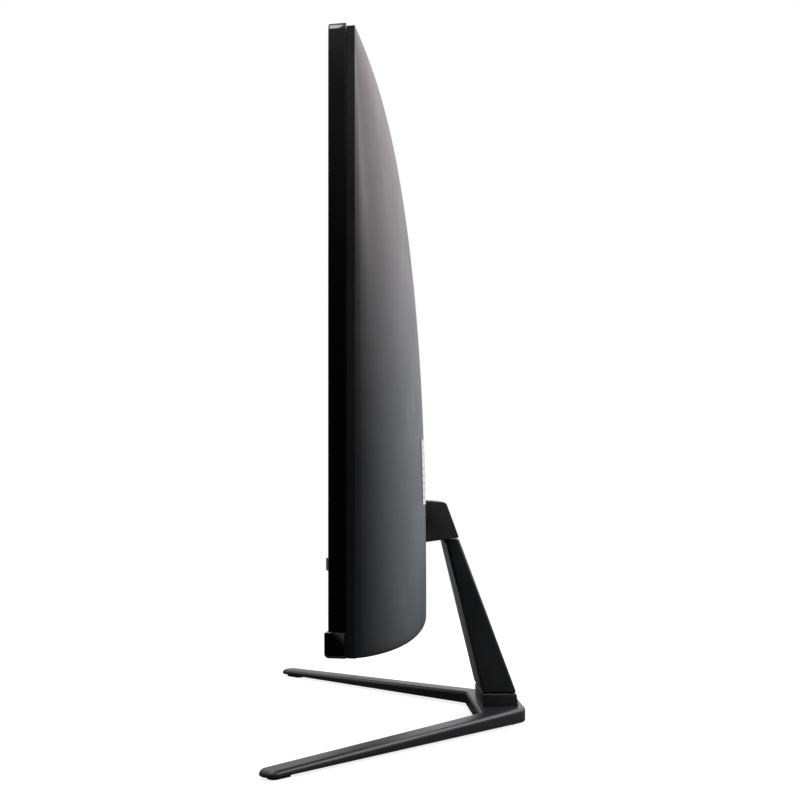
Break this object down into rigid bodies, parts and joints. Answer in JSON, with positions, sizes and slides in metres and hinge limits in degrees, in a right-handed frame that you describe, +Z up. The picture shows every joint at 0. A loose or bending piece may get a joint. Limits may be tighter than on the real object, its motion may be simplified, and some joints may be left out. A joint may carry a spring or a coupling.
{
  "type": "computer monitor",
  "caption": "Curved desktop monitor with a thin glossy frame, domed rear cover, tilting head and a V-legged stand.",
  "frame": {"origin": "on the table, midway between the leg tips and the nose of the base, on the plane of symmetry", "axes": "+Z up, +X along the display's width to the viewer's right, the screen faces -Y"},
  "size_m": [0.6154, 0.2101, 0.4625],
  "materials": {
    "gloss_black": "high gloss black",
    "satin_black": "satin moulded black",
    "matte_black": "fine texture",
    "graphite_paint": "satin graphite paint over a die casting",
    "screen": "anti-glare film, switched off",
    "clear_plastic": "clear acrylic",
    "white_film": "white film",
    "zinc_steel": "zinc plated",
    "dark_steel": "black oxide",
    "circuit_board": "solder mask",
    "nickel": "nickel plated",
    "rubber": "matte",
    "label_paper": "printed film",
    "ribbon": "flat cable"
  },
  "bodies": {
    "stand": {"base": "graphite_paint", "neck": "graphite_paint", "base_screw": "zinc_steel", "front_pad_left": "rubber", "front_pad_right": "rubber", "rear_pad_left": "rubber", "rear_pad_right": "rubber"},
    "display": {"front_frame": "gloss_black", "chin": "gloss_black", "rear_cover": "satin_black", "hinge_cover": "satin_black", "panel_frame": "matte_black", "power_socket": "matte_black", "audio_socket": "matte_black", "lcd_glass": "screen", "light_guide": "clear_plastic", "power_light": "clear_plastic", "diffuser_sheets": "white_film", "reflector_sheet": "white_film", "led_bar": "white_film", "panel_tray": "zinc_steel", "chassis_bracket": "zinc_steel", "board_shield": "zinc_steel", "port_plate": "zinc_steel", "stand_mount": "zinc_steel", "hinge_pin": "zinc_steel", "hinge_nut": "zinc_steel", "friction_washer_left": "zinc_steel", "friction_washer_right": "zinc_steel", "vesa_post_1": "zinc_steel", "vesa_post_2": "zinc_steel", "vesa_post_3": "zinc_steel", "vesa_post_4": "zinc_steel", "hinge_bracket": "dark_steel", "mount_screw_1": "dark_steel", "mount_screw_2": "dark_steel", "mount_screw_3": "dark_steel", "mount_screw_4": "dark_steel", "cover_screw_1": "dark_steel", "cover_screw_2": "dark_steel", "cover_screw_3": "dark_steel", "main_board": "circuit_board", "backlight_driver_board": "circuit_board", "panel_driver_board": "circuit_board", "key_board": "circuit_board", "hdmi_socket_1": "nickel", "hdmi_socket_2": "nickel", "displayport_socket": "nickel", "rating_label": "label_paper", "panel_ribbon": "ribbon"},
    "power_key_body": {"power_key": "gloss_black"},
    "menu_key_1_body": {"menu_key_1": "gloss_black"},
    "menu_key_2_body": {"menu_key_2": "gloss_black"},
    "menu_key_3_body": {"menu_key_3": "gloss_black"},
    "menu_key_4_body": {"menu_key_4": "gloss_black"}
  },
  "joints": [
    {"name": "tilt", "type": "hinge", "parent": "stand", "child": "display", "pos_m": [0, 0.035, 0.168], "axis": [-1, 0, 0], "range_deg": [-5, 15]},
    {"name": "power_key_press", "type": "slide", "parent": "display", "child": "power_key_body", "axis": [0, 0, 1], "range_m": [0, 0.0008], "stiffness_N_per_m": 1500},
    {"name": "menu_key_1_press", "type": "slide", "parent": "display", "child": "menu_key_1_body", "axis": [0, 0, 1], "range_m": [0, 0.0008], "stiffness_N_per_m": 1500},
    {"name": "menu_key_2_press", "type": "slide", "parent": "display", "child": "menu_key_2_body", "axis": [0, 0, 1], "range_m": [0, 0.0008], "stiffness_N_per_m": 1500},
    {"name": "menu_key_3_press", "type": "slide", "parent": "display", "child": "menu_key_3_body", "axis": [0, 0, 1], "range_m": [0, 0.0008], "stiffness_N_per_m": 1500},
    {"name": "menu_key_4_press", "type": "slide", "parent": "display", "child": "menu_key_4_body", "axis": [0, 0, 1], "range_m": [0, 0.0008], "stiffness_N_per_m": 1500}
  ]
}
